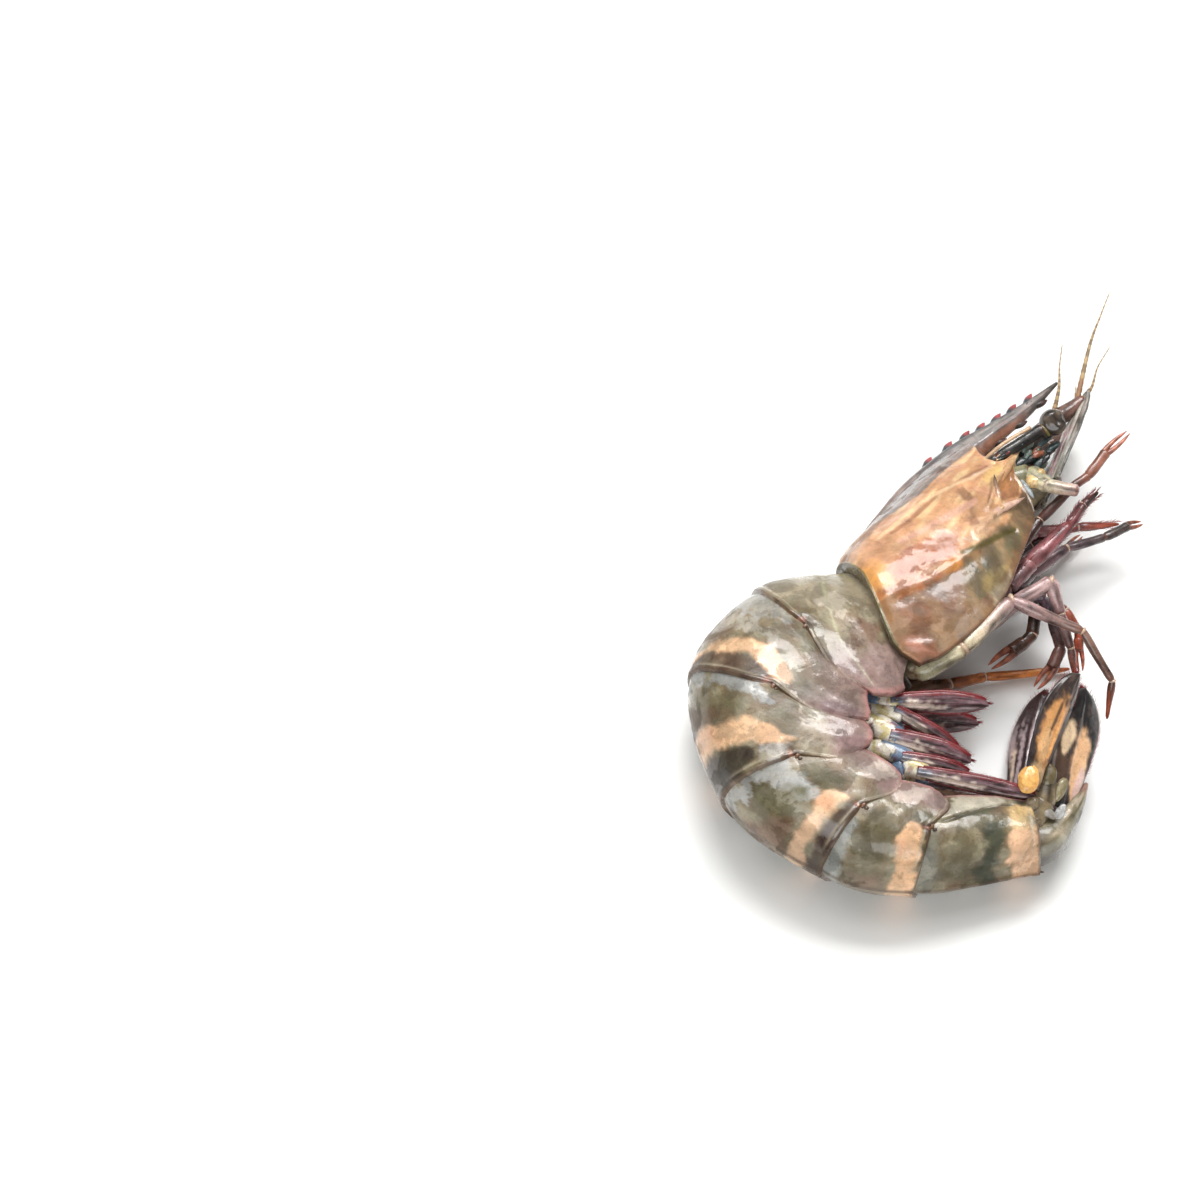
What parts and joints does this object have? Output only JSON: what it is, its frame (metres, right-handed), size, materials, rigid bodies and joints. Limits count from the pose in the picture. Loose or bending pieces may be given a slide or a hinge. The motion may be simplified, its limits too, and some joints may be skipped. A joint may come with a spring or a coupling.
{
  "type": "tiger prawn",
  "caption": "Whole raw striped prawn lying curled on its side, with a toothed horn, stalked eyes, jointed legs, swimmerets and a tail fan.",
  "frame": {"origin": "centre of the bounding box's bottom face, on the surface that the prawn lies on", "axes": "+Z from the left flank, which lies down, to the right flank; +Y along the length, from the tail bend to the feelers; +X from the back at the bend to the legs"},
  "size_m": [0.1088, 0.157, 0.0295],
  "materials": {
    "shell": "wet olive-grey shell with cream and dark brown bands",
    "head_shell": "wet amber and peach shell, darker along the horn",
    "limb": "mauve to dark brown jointed limbs with orange-red tips",
    "swimmeret": "dark purple-grey blades with red edges on white and blue stems",
    "tail_fan": "dark paddles with orange patches and a red fringe",
    "eye": "glossy dark eyes",
    "feeler": "pale thin feelers and bristles"
  },
  "bodies": {
    "root": {"tiger_prawn": "shell"}
  },
  "joints": []
}
